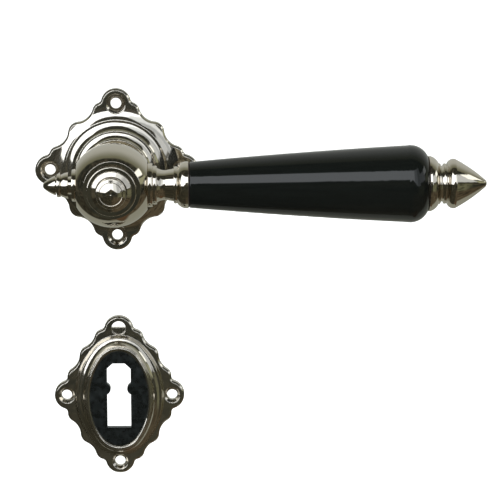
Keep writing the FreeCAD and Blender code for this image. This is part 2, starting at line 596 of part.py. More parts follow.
def draw_oval(sketch, half_width, half_height):
    """Oval of four arcs: two small ones at its ends and two large ones along its sides."""
    wide, tall, share = number(half_width), number(half_height), number("oval_end")
    small = wide * share
    large = (wide ** 2 + (tall - small) ** 2 - small ** 2) / (2 * (wide - small))
    small_text = "%s * %s" % (cell(half_width), cell("oval_end"))
    rise_text = "(%s - %s)" % (cell(half_height), small_text)
    large_text = "(%s ^ 2 + %s ^ 2 - (%s) ^ 2) / (2 * (%s - %s))" % (
        cell(half_width), rise_text, small_text, cell(half_width), small_text)
    axis = FreeCAD.Vector(0, 0, 1)
    lean = math.atan2(tall - small, large - wide)
    arcs = []
    for middle, radius, first, last in (
            (FreeCAD.Vector(wide - large, 0, 0), large, -lean, lean),
            (FreeCAD.Vector(0, tall - small, 0), small, lean, math.pi - lean),
            (FreeCAD.Vector(large - wide, 0, 0), large, math.pi - lean, math.pi + lean),
            (FreeCAD.Vector(0, small - tall, 0), small, math.pi + lean, 2 * math.pi - lean)):
        arc = Part.ArcOfCircle(Part.Circle(middle, axis, radius), first, last)
        arcs.append(sketch.addGeometry(arc, False))
    for index, geometry in enumerate(arcs):
        sketch.addConstraint(
            Sketcher.Constraint("Tangent", geometry, 2, arcs[(index + 1) % 4], 1))
    for geometry, sign in ((arcs[1], ""), (arcs[3], "-")):
        sketch.addConstraint(Sketcher.Constraint("PointOnObject", geometry, 3, -2))
        rise = Sketcher.Constraint("DistanceY", -1, 1, geometry, 3, float(sign + "1") * (tall - small))
        bind(sketch, rise, sign + rise_text)
        bind(sketch, Sketcher.Constraint("Radius", geometry, small), small_text)
    for geometry in (arcs[0], arcs[2]):
        bind(sketch, Sketcher.Constraint("Radius", geometry, large), large_text)


def extrude(body, kind, name, sketch, length, reversed_way=False):
    """Pad or Pocket of a sketch over a named length, or through everything."""
    feature = body.newObject("PartDesign::" + kind, name)
    feature.Profile = sketch
    feature.Reversed = reversed_way
    if length:
        feature.Length = number(length)
        feature.setExpression("Length", cell(length))
    else:
        feature.Type = "ThroughAll"
    sketch.Visibility = False
    return feature


def revolve(body, kind, name, points, about, angle=None):
    """Revolution or Groove of a half section about the X or the Y axis."""
    sketch = new_sketch(body, name + "_section", "XY_Plane")
    draw_path(sketch, points)
    feature = body.newObject("PartDesign::" + kind, name)
    feature.Profile = sketch
    feature.ReferenceAxis = (sketch, ["H_Axis" if about == "X" else "V_Axis"])
    feature.Angle = number(angle) if angle else 360
    if angle:
        feature.setExpression("Angle", cell(angle))
    sketch.Visibility = False
    return feature


def turned_part(label, points, about, angle=None):
    """A sub-part that is one turned solid. About X it lies on the lever's axis."""
    body = new_body(label)
    revolve(body, "Revolution", label + "_turned", points, about, angle)
    if about == "X":
        body.Placement.Base = FreeCAD.Vector(0, -number("stand_off"), 0)
        body.setExpression("Placement.Base.y", "-Sizes.stand_off")
    return body


def edges_where(feature, test):
    return ["Edge%d" % index for index, edge in enumerate(feature.Shape.Edges, start=1) if test(edge)]


def on_height(edge, height):
    """Whether the whole edge lies at one height above the door."""
    points = edge.discretize(5)
    return all(abs(point.y + height) < 1e-5 for point in points)


def bevel(body, name, feature, edges, size):
    chamfer = body.newObject("PartDesign::Chamfer", name)
    chamfer.Base = (feature, edges)
    chamfer.Size = number(size)
    chamfer.setExpression("Size", cell(size))
    return chamfer


def rounded(body, name, feature, edges, size):
    fillet = body.newObject("PartDesign::Fillet", name)
    fillet.Base = (feature, edges)
    fillet.Radius = number(size)
    fillet.setExpression("Radius", cell(size))
    return fillet


def screw_holes(body, name, spots, sink):
    """Countersunk screw holes through the base, at named spots on its front face."""
    sketch = new_sketch(body, name + "_spots", "XZ_Plane", "plate_thick")
    for x, y in spots:
        draw_circle(sketch, x, y, "screw_hole_r")
    doc.recompute()
    hole = body.newObject("PartDesign::Hole", name)
    hole.Profile = sketch
    doc.recompute()
    hole.ThreadType = "None"
    hole.DepthType = "ThroughAll"
    hole.Diameter = 2 * number("screw_hole_r")
    hole.setExpression("Diameter", "2 * Sizes.screw_hole_r")
    hole.HoleCutType = "Countersink"
    hole.HoleCutCustomValues = True
    hole.HoleCutDiameter = 2 * number(sink)
    hole.setExpression("HoleCutDiameter", "2 * " + cell(sink))
    hole.HoleCutCountersinkAngle = 90
    sketch.Visibility = False
    return hole


# Rose: one casting, scalloped round its rim and turned into three stepped coves
rose = new_body("rose_plate")
rim = new_sketch(rose, "rose_rim", "XZ_Plane")
draw_ears(rim, "screw_circle_r", ("shoulder_far", "shoulder_near"), ("bump_side", "bump_side"),
          ("shoulder_near", "shoulder_far"), "screw_circle_r",
          ("ear_r", "ear_blend_r", "shoulder_r", "scallop_r", "bump_r"))
blank = extrude(rose, "Pad", "rose_blank", rim, "rose_front")
coves = revolve(rose, "Groove", "rose_coves", [
    ("rose_lip_inner_r", "-clear_front"),
    ("rose_lip_inner_r", "-rose_front", "sag", "inner_cove_sag"),
    ("rose_lip_middle_r", "-rose_middle", "sag", "middle_cove_sag"),
    ("rose_lip_outer_r", "-rose_low", "sag", "outer_cove_sag"),
    ("rose_foot_r", "-plate_thick"),
    ("clear_r", "-plate_thick"),
    ("clear_r", "-clear_front")], "Y")
doc.recompute()
flat_rim = edges_where(coves, lambda edge: on_height(edge, number("plate_thick"))
                       and not (hasattr(edge.Curve, "Radius")
                                and abs(edge.Curve.Radius - number("rose_foot_r")) < 1e-4))
bevel(rose, "rose_edge", coves, flat_rim, "edge_bevel")
revolve(rose, "Groove", "rose_hollow", [
    (None, None), (None, "-rose_front"), ("bush_r", "-rose_front"), ("bush_r", "-boss_back"),
    ("boss_r", "-boss_back"), ("boss_r", "-hollow_top"), ("hollow_r", "-hollow_low"),
    ("hollow_r", None)], "Y")
seat_circle = new_sketch(rose, "rose_seat_circle", "XZ_Plane", "plate_thick")
draw_circle(seat_circle, None, "screw_circle_r", "seat_r")
rose_seat = extrude(rose, "Pocket", "rose_seat", seat_circle, "rose_first_rise", True)
rose_hole = screw_holes(rose, "rose_hole", [(None, "screw_circle_r")], "sink_r")
rose_holes = rose.newObject("PartDesign::PolarPattern", "rose_holes")
rose_holes.Originals = [rose_seat, rose_hole]
rose_holes.Axis = (rim, ["N_Axis"])
rose_holes.Angle = 360
rose_holes.Occurrences = 4
rose.Tip = rose_holes

# Bush, in which the shank turns, and the washers on either side of it
turned_part("rose_bush", [
    ("bush_bore_r", "-boss_back"), ("bush_bore_r", "-bush_front"), ("bush_flange_r", "-bush_front"),
    ("bush_flange_r", "-rose_front"), ("bush_r", "-rose_front"), ("bush_r", "-boss_back")], "Y")
turned_part("thrust_washer", [
    ("washer_bore_r", "-bush_front"), ("washer_bore_r", "-thrust_front"),
    ("thrust_r", "-thrust_front"), ("thrust_r", "-bush_front")], "Y")
turned_part("dished_washer", [
    ("washer_bore_r", "-dish_back"), ("washer_bore_r", "-dish_inner_front"),
    ("boss_r", "-boss_back"), ("boss_r", "-dish_outer_back")], "Y")
turned_part("retaining_ring", [
    ("ring_bore_r", "-ring_back"), ("ring_bore_r", "-ring_front"), ("ring_r", "-ring_front"),
    ("ring_r", "-ring_back")], "Y", "ring_turn")

# Ball with its neck and shank, turned in one piece, then bored for all that screws into it
hub = new_body("lever_hub")
hub_turned = revolve(hub, "Revolution", "hub_turned", [
    (None, "-shank_back"), ("shank_r", "-shank_back"), ("shank_r", "-groove_back"),
    ("ring_bore_r", "-groove_back"), ("ring_bore_r", "-dish_back"), ("shank_r", "-dish_back"),
    ("shank_r", "-flare_back"), ("neck_flare_r", "-flare_back"),
    ("neck_flare_r", "-flare_front", "sag", "-neck_flare_sag"), ("neck_r", "-neck_root"),
    ("neck_r", "-ball_back", "radius", "ball_r"), ("front_seat_r", "-ball_front"),
    (None, "-ball_front")], "Y")


def cut_round(name, plane, height, x, y, radius, length, reversed_way):
    """A round cut into the hub from a plane at a named height."""
    sketch = new_sketch(hub, name + "_circle", plane, height)
    draw_circle(sketch, x, y, radius)
    return extrude(hub, "Pocket", name, sketch, length, reversed_way)


cut_round("tail_flat", "YZ_Plane", "-tail_seat", "-stand_off", None, "ball_r", "ball_r", False)
cut_round("neck_flat", "YZ_Plane", "neck_seat", "-stand_off", None, "ball_r", "ball_r", True)
cut_round("button_hole", "XZ_Plane", "ball_front", None, None, "stud_r", "stud_in", False)
cut_round("tail_hole", "YZ_Plane", "-tail_seat", "-stand_off", None, "tail_stud_r",
          "tail_stud_in", True)
cut_round("rod_hole", "YZ_Plane", "neck_seat", "-stand_off", None, "rod_r", "rod_in", False)
cut_round("grub_hole", "XY_Plane", None, None, "-grub_height", "grub_r", "ball_r", False)
socket = new_sketch(hub, "socket_square", "XZ_Plane", "shank_back")
draw_rectangle(socket, "socket_half")
hub.Tip = extrude(hub, "Pocket", "spindle_socket", socket, "socket_deep", True)

# Square spindle with a bevelled free end
spindle = new_body("spindle")
square = new_sketch(spindle, "spindle_square", "XZ_Plane", "spindle_in")
draw_rectangle(square, "spindle_half")
bar = extrude(spindle, "Pad", "spindle_bar", square, "spindle_length", True)
doc.recompute()
bevel(spindle, "spindle_end", bar,
      edges_where(bar, lambda edge: on_height(edge, -number("spindle_out"))), "spindle_bevel")

# Set screw that pins the spindle, in the underside of the neck
grub = new_body("spindle_grub_screw")
grub_circle = new_sketch(grub, "grub_circle", "XY_Plane", "-spindle_half")
draw_circle(grub_circle, None, "-grub_height", "grub_r")
extrude(grub, "Pad", "grub_barrel", grub_circle, "grub_length", True)
hexagon = new_sketch(grub, "grub_hexagon", "XY_Plane", "-grub_end")
HEX_CORNERS = [("grub_socket_r", None), ("hex_side", "hex_flat"), ("-hex_side", "hex_flat"),
               ("-grub_socket_r", None), ("-hex_side", "-hex_flat"), ("hex_side", "-hex_flat")]
draw_path(hexagon, HEX_CORNERS)
hexagon.AttachmentOffset = FreeCAD.Placement(
    FreeCAD.Vector(0, -number("grub_height"), -number("grub_end")), FreeCAD.Rotation())
hexagon.setExpression("AttachmentOffset.Base.y", "-Sizes.grub_height")
hexagon.setExpression("AttachmentOffset.Base.z", "-Places.grub_end")
grub.Tip = extrude(grub, "Pocket", "grub_socket", hexagon, "grub_socket_deep", True)

# Stepped collar and domed button on the front of the ball
turned_part("front_collar", [
    ("stud_r", "-ball_front"), ("collar_r", "-ball_front"),
    ("collar_r", "-collar_edge", "radius", "collar_round"), ("collar_rim_r", "-collar_front"),
    ("collar_step_r", "-collar_front"), ("collar_step_r", "-step_edge", "radius", "step_round"),
    ("step_rim_r", "-step_front"), ("slope_r", "-slope_front"), ("stud_r", "-slope_front")], "Y")
turned_part("front_button", [
    (None, "-stud_back"), ("stud_r", "-stud_back"), ("stud_r", "-slope_front"),
    ("button_r", "-slope_front"), ("button_r", "-button_edge", "radius", "button_round"),
    ("button_lip_r", "-button_lip"), ("button_face_r", "-button_face"),
    ("dome_r", "-dome_root", "radius", "dome_round"), (None, "-button_front")], "Y")

# Turned tail: ring and neck, stud, and the finial with its cup, bead and cone
turned_part("tail_collar", [
    ("-tail_neck_end", "tail_stud_r"), ("-tail_neck_end", "tail_neck_r"),
    ("-tail_collar_end", "tail_neck_r"), ("-tail_collar_end", "tail_collar_r", "sag", "ring_crown"),
    ("-tail_seat", "tail_collar_r"), ("-tail_seat", "tail_stud_r")], "X")
turned_part("tail_stud", [
    ("-tail_stud_tip", None), ("-tail_stud_tip", "tail_stud_r"),
    ("-tail_stud_root", "tail_stud_r"), ("-tail_stud_root", None)], "X")
turned_part("tail_finial", [
    ("-tail_tip", None, "radius", "tail_tip_round"),
    ("-tail_cone_end", "tail_tip_r", "sag", "tail_cone_sag"),
    ("-tail_groove_end", "tail_cone_r"), ("-tail_groove_end", "tail_groove_r"),
    ("-tail_bead_end", "tail_groove_r"), ("-tail_bead_end", "tail_bead_r", "sag", "ring_crown"),
    ("-tail_cup_end", "tail_bead_r"), ("-tail_cup_end", "tail_cup_end_r", "sag", "tail_cup_sag"),
    ("-tail_neck_end", "tail_cup_r"), ("-tail_neck_end", "tail_stud_r"),
    ("-tail_stud_tip", "tail_stud_r"), ("-tail_stud_tip", None)], "X")

# Neck, ferrule, grip and its fibre washers
turned_part("neck_sleeve", [
    ("neck_seat", "rod_r"), ("neck_seat", "neck_ring_r", "sag", "ring_crown"),
    ("neck_ring_end", "neck_ring_r"), ("neck_ring_end", "neck_bead_r", "sag", "ring_crown"),
    ("neck_bead_end", "neck_bead_r"), ("neck_bead_end", "neck_hollow_r", "sag", "-neck_hollow_sag"),
    ("waist_x", "waist_r"), ("neck_rise_end", "neck_rise_r"),
    ("neck_rise_end", "neck_lip_r", "sag", "ring_crown"),
    ("neck_end", "neck_lip_r"), ("neck_end", "rod_r")], "X")
turned_part("neck_ferrule", [
    ("neck_end", "rod_r"), ("neck_end", "ferrule_root_r", "sag", "ferrule_cup_sag"),
    ("ferrule_cup_end", "ferrule_r"), ("ferrule_end", "ferrule_r"), ("ferrule_end", "rod_r")], "X")
turned_part("grip_washer_inner", [
    ("ferrule_end", "rod_r"), ("ferrule_end", "pad_root_r"), ("grip_start", "pad_root_r"),
    ("grip_start", "rod_r")], "X")
turned_part("grip", [
    ("grip_start", "grip_bore_r"), ("grip_start", "grip_start_r", "radius", "grip_root_round"),
    ("grip_round_end", "grip_root_r", "sag", "grip_swell"),
    ("grip_fat", "grip_r", "sag", "grip_shoulder_sag"), ("grip_end", "grip_end_r"),
    ("grip_end", "grip_bore_r")], "X")
turned_part("grip_washer_outer", [
    ("grip_end", "rod_r"), ("grip_end", "pad_end_r"), ("end_ferrule_start", "pad_end_r"),
    ("end_ferrule_start", "rod_r")], "X")

# End of the lever: ferrule, waisted collar, pointed finial and the rod that ties it together
turned_part("end_ferrule", [
    ("end_ferrule_start", "rod_r"), ("end_ferrule_start", "end_ferrule_r"),
    ("end_band_end", "end_ferrule_r", "sag", "end_ferrule_sag"),
    ("end_ferrule_end", "end_ferrule_neck_r"), ("end_ferrule_end", "rod_r")], "X")
turned_part("end_collar", [
    ("end_ferrule_end", "rod_r"), ("end_ferrule_end", "end_ring_r", "sag", "ring_crown"),
    ("end_ring_end", "end_ring_r"), ("end_ring_end", "end_waist_r", "sag", "-end_waist_sag"),
    ("end_waist_end", "end_waist_r"), ("end_waist_end", "end_lip_r", "sag", "ring_crown"),
    ("end_lip_end", "end_lip_r"), ("end_lip_end", "rod_r")], "X")
turned_part("end_finial", [
    ("end_lip_end", "rod_r"), ("end_lip_end", "finial_seat_r"), ("finial_seat_end", "finial_seat_r"),
    ("finial_seat_end", "finial_root_r", "sag", "finial_swell_sag"),
    ("finial_swell_end", "finial_cone_r", "sag", "finial_cone_sag"),
    ("finial_cone_end", "finial_tip_r", "radius", "finial_tip_round"), ("finial_tip", None),
    ("rod_end", None), ("rod_end", "rod_r")], "X")
turned_part("tie_rod", [
    ("rod_start", None), ("rod_start", "rod_r"), ("rod_end", "rod_r"), ("rod_end", None)], "X")

# Escutcheon: a second casting, with a raised oval whose cove ends at a beaded field
plate = new_body("escutcheon_plate")
plate.Placement.Base = FreeCAD.Vector(0, 0, -number("escutcheon_drop"))
plate.setExpression("Placement.Base.z", "-Sizes.escutcheon_drop")
outline = new_sketch(plate, "escutcheon_rim", "XZ_Plane")
draw_ears(outline, "side_ear_x", ("side_shoulder_x", "side_shoulder_z"),
          ("oval_bump_x", "oval_bump_z"), ("end_shoulder_x", "end_shoulder_z"), "end_ear_z",
          ("ear_r", "ear_blend_r", "shoulder_r", "scallop_r", "bump_r"))
base = extrude(plate, "Pad", "escutcheon_base", outline, "plate_thick")
doc.recompute()
bevel(plate, "escutcheon_edge", base,
      edges_where(base, lambda edge: on_height(edge, number("plate_thick"))), "edge_bevel")


def oval_sketch(name, height, half_width, half_height):
    sketch = new_sketch(plate, name, "XZ_Plane", height)
    draw_oval(sketch, half_width, half_height)
    sketch.Visibility = False
    return sketch


def loft(name, sections, ruled):
    """Solid between ovals at several heights."""
    feature = plate.newObject("PartDesign::AdditiveLoft", name)
    feature.Profile = sections[0]
    feature.Sections = sections[1:]
    feature.Ruled = ruled
    return feature


foot = oval_sketch("foot_oval", "plate_thick", "foot_x", "foot_z")
lip = oval_sketch("lip_oval", "oval_low", "lip_x", "lip_z")
loft("escutcheon_step", [foot, lip], True)
cove = [oval_sketch("cove_oval_0", "oval_low", "lip_x", "lip_z")]
for index in range(1, COVE_SECTIONS):
    cove.append(oval_sketch("cove_oval_%d" % index, "cove_high_%d" % index,
                            "cove_x_%d" % index, "cove_z_%d" % index))
cove.append(oval_sketch("cove_oval_end", "oval_high", "crest_x", "crest_z"))
loft("escutcheon_cove", cove, False)
bead = oval_sketch("bead_oval", "oval_high", "bead_x", "bead_z")
extrude(plate, "Pad", "escutcheon_bead", bead, "bead_rise")
field = oval_sketch("field_oval", "bead_front", "field_x", "field_z")
sunk = extrude(plate, "Pocket", "escutcheon_field", field, "field_deep")
doc.recompute()
rounded(plate, "escutcheon_bead_round", sunk,
        edges_where(sunk, lambda edge: on_height(edge, number("bead_front"))), "bead_round")
hollow = new_sketch(plate, "hollow_oval", "XZ_Plane")
draw_oval(hollow, "hollow_x", "hollow_z")
extrude(plate, "Pocket", "escutcheon_hollow", hollow, "hollow_deep", True)
keyhole = new_sketch(plate, "keyhole_outline", "XZ_Plane")
draw_path(keyhole, [
    ("-keyhole_flat", "keyhole_top"), ("-keyhole_half", "keyhole_slant"),
    ("-keyhole_half", "nub_top", "sag", "nub_out"), ("-keyhole_half", "nub_bottom"),
    ("-keyhole_half", "-keyhole_bottom"), ("keyhole_half", "-keyhole_bottom"),
    ("keyhole_half", "nub_bottom", "sag", "nub_out"), ("keyhole_half", "nub_top"),
    ("keyhole_half", "keyhole_slant"), ("keyhole_flat", "keyhole_top")])
extrude(plate, "Pocket", "keyhole", keyhole, None, True)
screw_holes(plate, "escutcheon_holes", [("side_hole_x", None), ("-side_hole_x", None),
                                        (None, "-end_hole_z")], "oval_sink_r")
peep = new_sketch(plate, "peep_circle", "XZ_Plane", "plate_thick")
draw_circle(peep, None, "end_hole_z", "peep_r")
extrude(plate, "Pocket", "peep_sink", peep, "peep_deep")
half = new_sketch(plate, "peep_half", "XZ_Plane")
draw_path(half, [("-peep_r", "end_hole_z", "radius", "peep_r"),
                 (None, "peep_crown", "radius", "peep_r"), ("peep_r", "end_hole_z")])
plate.Tip = extrude(plate, "Pocket", "peep_open", half, None, True)

doc.recompute()
bodies = [thing for thing in doc.Objects if thing.TypeId == "PartDesign::Body"]
for thing in doc.Objects:
    if "Invalid" in thing.State or "Error" in thing.State:
        raise ValueError("%s did not build: %s" % (thing.Label, thing.State))
os.makedirs("parts", exist_ok=True)
for body in bodies:
    shape = body.Shape
    if shape.isNull() or not shape.isValid() or len(shape.Solids) != 1:
        raise ValueError("%s has no sound solid" % body.Label)
    shape.exportStep("parts/%s.step" % body.Label)
    print("%-20s %9.1f mm3, %d faces" % (body.Label, shape.Volume, len(shape.Faces)))
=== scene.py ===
# %% [markdown]
# # A lever door handle on a scalloped rose, with its keyhole escutcheon
#
# The handle is a piece of old-fashioned door furniture: cast and turned brass, plated with
# nickel and polished until it mirrors the room, round a turned grip of black stained wood.
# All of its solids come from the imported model, in metres, standing on the door as they would
# in use: X runs along the lever, Z is up and the user stands at -Y.
# This script adds what the solids don't hold: the finish of every piece, the studio and the
# camera.

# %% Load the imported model
import math

import bpy
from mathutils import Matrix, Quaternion, Vector

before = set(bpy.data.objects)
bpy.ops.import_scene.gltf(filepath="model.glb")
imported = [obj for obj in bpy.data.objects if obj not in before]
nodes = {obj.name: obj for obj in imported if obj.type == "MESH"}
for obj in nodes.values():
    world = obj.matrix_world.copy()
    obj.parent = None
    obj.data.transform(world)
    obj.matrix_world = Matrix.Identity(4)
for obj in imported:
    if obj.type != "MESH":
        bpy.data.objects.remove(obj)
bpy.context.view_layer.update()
MM = 0.001

# %% [markdown]
# ## The camera
#
# The photograph shows the handle nearly from the front and a little from above: the ball
# hides the lower half of the rose, and the ends of the grip show no more than a line. A
# camera that looks down by 11.5 degrees from 0.7 m away gives the same overlaps. It stands
# more to the left than the middle of the frame: the photograph is cut from a larger picture,
# so the lens is shifted to the right and up by the same amount. The pieces also lie a quarter
# of a degree askew in it, which a small roll of the camera gives.

# %% Camera at the photograph's viewing angle
AIM = Vector((27.1, 0.0, -31.3)) * MM
VIEW_DOWN = math.radians(11.5)
ROLL = math.radians(-0.3)
VIEW_DISTANCE = 700 * MM
FRAME_WIDE, FRAME_TALL = 494, 500
FOCAL_PIXELS = 2234
SENSOR = 36.0
SHIFT_RIGHT = 0.0848
SHIFT_UP = 0.034

camera_data = bpy.data.cameras.new("studio_camera")
camera_data.sensor_width = SENSOR
camera_data.lens = FOCAL_PIXELS / FRAME_TALL * SENSOR
camera_data.shift_x = SHIFT_RIGHT
camera_data.shift_y = SHIFT_UP
camera = bpy.data.objects.new("studio_camera", camera_data)
bpy.context.scene.collection.objects.link(camera)
backwards = Vector((0, -math.cos(VIEW_DOWN), math.sin(VIEW_DOWN)))
camera.location = AIM + backwards * VIEW_DISTANCE
turn = (-backwards).to_track_quat("-Z", "Y") @ Quaternion((0, 0, 1), ROLL)
camera.rotation_euler = turn.to_euler()
bpy.context.scene.camera = camera
print("lens %.1f mm at %.2f m" % (camera_data.lens, VIEW_DISTANCE))

# %% [markdown]
# ## Two small helpers for materials
#
# Colours are written as the sRGB hex values that one reads off a picture, and one function
# turns them to the linear numbers that Blender's sockets take. The other adds a node with
# its settings and links, so that each material reads as a short list of what it does.


# %% Colour and node helpers
def linear(hex_code):
    """An sRGB hex colour as the linear RGBA of a socket."""
    channels = [int(hex_code[i:i + 2], 16) / 255 for i in (1, 3, 5)]
    curved = [c / 12.92 if c <= 0.04045 else ((c + 0.055) / 1.055) ** 2.4 for c in channels]
    return (*curved, 1.0)


def add(tree, kind, inputs=None, **settings):
    """A node with its settings, its input values and its links from other nodes' outputs."""
    node = tree.nodes.new(kind)
    for name, value in settings.items():
        setattr(node, name, value)
    for name, value in (inputs or {}).items():
        if isinstance(value, bpy.types.NodeSocket):
            tree.links.new(value, node.inputs[name])
        else:
            node.inputs[name].default_value = value
    return node


def new_material(name):
    """An empty material with its output node."""
    material = bpy.data.materials.new(name)
    material.use_nodes = True
    tree = material.node_tree
    tree.nodes.clear()
    return material, tree, tree.nodes.new("ShaderNodeOutputMaterial")


# %% [markdown]
# ## The room that the metal mirrors
#
# Polished nickel has hardly any look of its own: it shows the room. Read off the ball, the
# button and the ferrule, the room of the photograph is dark, with small things in it that are
# too dim to tell, and with one large window in front. The photographer stands before it, so
# its lower edge runs up to a peak in the middle. A second small window lies far to the right,
# a pale wall closes the room behind the handle at the top, and the table shows as a duller,
# brown edged rim at the bottom, mostly to the right.
# A ring of real lamps could do this, but the world does it with soft edges and without grain:
# it knows only directions, so every view of the handle gets the same room. Straight at the
# camera it is plain white.

# %% Directions in the room
world = bpy.data.worlds.new("studio")
bpy.context.scene.world = world
world.use_nodes = True
sky = world.node_tree
sky.nodes.clear()
sky_out = sky.nodes.new("ShaderNodeOutputWorld")
direction = add(sky, "ShaderNodeTexCoord")
part = add(sky, "ShaderNodeSeparateXYZ", {0: direction.outputs["Generated"]})


def calc(operation, *values):
    """One step of arithmetic on the directions."""
    return add(sky, "ShaderNodeMath", dict(enumerate(values)), operation=operation).outputs[0]


to_user = calc("MULTIPLY", part.outputs["Y"], -1.0)
bearing = calc("ARCTAN2", part.outputs["X"], to_user)
aside = calc("ABSOLUTE", bearing)
height = calc("ARCSINE", part.outputs["Z"])


def between(value, low, high, soft):
    """1 where a value lies between two limits, fading to 0 over a soft edge."""
    rise = add(sky, "ShaderNodeMapRange", {0: value, 1: low - soft, 2: low + soft},
               interpolation_type="SMOOTHSTEP")
    fall = add(sky, "ShaderNodeMapRange", {0: value, 1: high - soft, 2: high + soft, 3: 1.0,
                                           4: 0.0}, interpolation_type="SMOOTHSTEP")
    return calc("MULTIPLY", rise.outputs[0], fall.outputs[0])


def pane(left, right, low, high, soft):
    """A patch between two bearings and two heights, in degrees from the user's side."""
    soft = math.radians(soft)
    across = between(bearing, math.radians(left), math.radians(right), soft)
    up = between(height, math.radians(low), math.radians(high), soft)
    return calc("MULTIPLY", across, up)


def lay_over(below, mask, colour):
    """Puts a colour over what is there, where the mask is 1."""
    mix = add(sky, "ShaderNodeMix", {0: mask, 6: below, 7: colour}, data_type="RGBA")
    return mix.outputs[2]


# %% Dark room with brown and olive things in it
FAR = 9.0
THINGS_SIZE, SMALL_SIZE = 3.2, 9.0
things = add(sky, "ShaderNodeTexNoise", {"Vector": direction.outputs["Generated"],
                                         "Scale": THINGS_SIZE, "Detail": 3.0})
brown = add(sky, "ShaderNodeMapRange", {0: things.outputs[0], 1: 0.46, 2: 0.62},
            interpolation_type="SMOOTHSTEP")
low = between(part.outputs["Z"], -FAR, -0.35, 0.15)
low_right = calc("MULTIPLY_ADD", part.outputs["Z"], -0.35, part.outputs["X"])
low_right = calc("MULTIPLY", low, between(low_right, 0.30, FAR, 0.08))
olive_thing = pane(36, 74, -22, 3, 5)
seen = lay_over(linear("#33352f"), brown.outputs[0], linear("#4c493f"))
seen = lay_over(seen, low, linear("#3a382e"))
seen = lay_over(seen, low_right, linear("#5b5242"))
seen = lay_over(seen, olive_thing, linear("#75765f"))

# %% Small unclear things in the dark
small = add(sky, "ShaderNodeTexNoise", {"Vector": direction.outputs["Generated"],
                                        "Scale": SMALL_SIZE, "Detail": 4.0})
dim = add(sky, "ShaderNodeMapRange", {0: small.outputs[0], 1: 0.52, 2: 0.62, 4: 0.65})
lit = add(sky, "ShaderNodeMapRange", {0: small.outputs[0], 1: 0.46, 2: 0.36, 4: 0.22})
seen = lay_over(seen, dim.outputs[0], linear("#22211c"))
seen = lay_over(seen, lit.outputs[0], linear("#777460"))

# %% Pale wall behind the handle at the top, table at the bottom
WALL_EDGE, WALL_PALEST, TABLE_EDGE = 0.41, 0.71, 0.70
above = between(part.outputs["Z"], 0.0, FAR, 0.04)
below = calc("SUBTRACT", 1.0, above)
wall = calc("MULTIPLY_ADD", part.outputs["Z"], 0.45, part.outputs["Y"])
wall = calc("MULTIPLY_ADD", part.outputs["X"], 0.10, wall)
table = calc("MULTIPLY_ADD", part.outputs["Z"], -0.51, part.outputs["Y"])
table = calc("MULTIPLY_ADD", part.outputs["X"], 0.18, table)
wall_all = calc("MULTIPLY", above, between(wall, WALL_EDGE, FAR, 0.05))
wall_far = calc("MULTIPLY", above, between(wall, WALL_PALEST, FAR, 0.27))
table_top = calc("MULTIPLY", below, between(table, TABLE_EDGE, FAR, 0.04))
table_shade = pane(72, 152, -84, -63, 4)
seen = lay_over(seen, wall_all, linear("#7f806d"))
seen = lay_over(seen, wall_far, linear("#c3c6c1"))
seen = lay_over(seen, table_top, linear("#9c9e93"))
seen = lay_over(seen, table_shade, linear("#5c4a38"))

# %% Windows
PEAK = math.radians(21)
PEAK_SLOPE = 0.62
DAYLIGHT = (2.3, 2.4, 2.5, 1.0)
DAYLIGHT_RIGHT = (1.12, 1.19, 1.26, 1.0)
DAYLIGHT_EDGE = (0.60, 0.64, 0.68, 1.0)
CURTAIN = (0.76, 0.80, 0.84, 1.0)
SMALL_WINDOW = (1.7, 1.75, 1.7, 1.0)
over_head = between(calc("MULTIPLY_ADD", aside, PEAK_SLOPE, height), PEAK, FAR,
                    math.radians(1.5))
window = calc("MULTIPLY", pane(-68, 48, 2, 48.5, 1.5), over_head)
window_right = calc("MULTIPLY", window, pane(12, 60, -30, 60, 4))
window_edge = calc("MULTIPLY", window, pane(31, 60, -30, 60, 4))
curtain = pane(47, 84, 8, 31, 2)
small_window = pane(80, 101, 19, 32, 1.5)
small_sill = pane(84, 108, 3, 15, 1.5)
seen = lay_over(seen, curtain, CURTAIN)
seen = lay_over(seen, window, DAYLIGHT)
seen = lay_over(seen, window_right, DAYLIGHT_RIGHT)
seen = lay_over(seen, window_edge, DAYLIGHT_EDGE)
seen = lay_over(seen, small_window, SMALL_WINDOW)
seen = lay_over(seen, small_sill, linear("#aeb094"))

# %% The room in the metal, plain white for the camera
room_light = add(sky, "ShaderNodeBackground", {"Color": seen, "Strength": 1.0})
white = add(sky, "ShaderNodeBackground", {"Color": (1, 1, 1, 1), "Strength": 1.0})
ray = add(sky, "ShaderNodeLightPath")
shown = add(sky, "ShaderNodeMixShader", {0: ray.outputs["Is Camera Ray"],
                                         1: room_light.outputs[0], 2: white.outputs[0]})
sky.links.new(shown.outputs[0], sky_out.inputs["Surface"])

# %% [markdown]
# ## Floor and lamp
#
# The floor is a plain white sheet below the handle. Its paint glows just enough at the camera
# to reach white where nothing shades it, and it keeps the shadow of one large soft lamp. The
# mirror finish doesn't see it, because in the photograph the dark room comes up to the handle.

# %% Floor
import bmesh

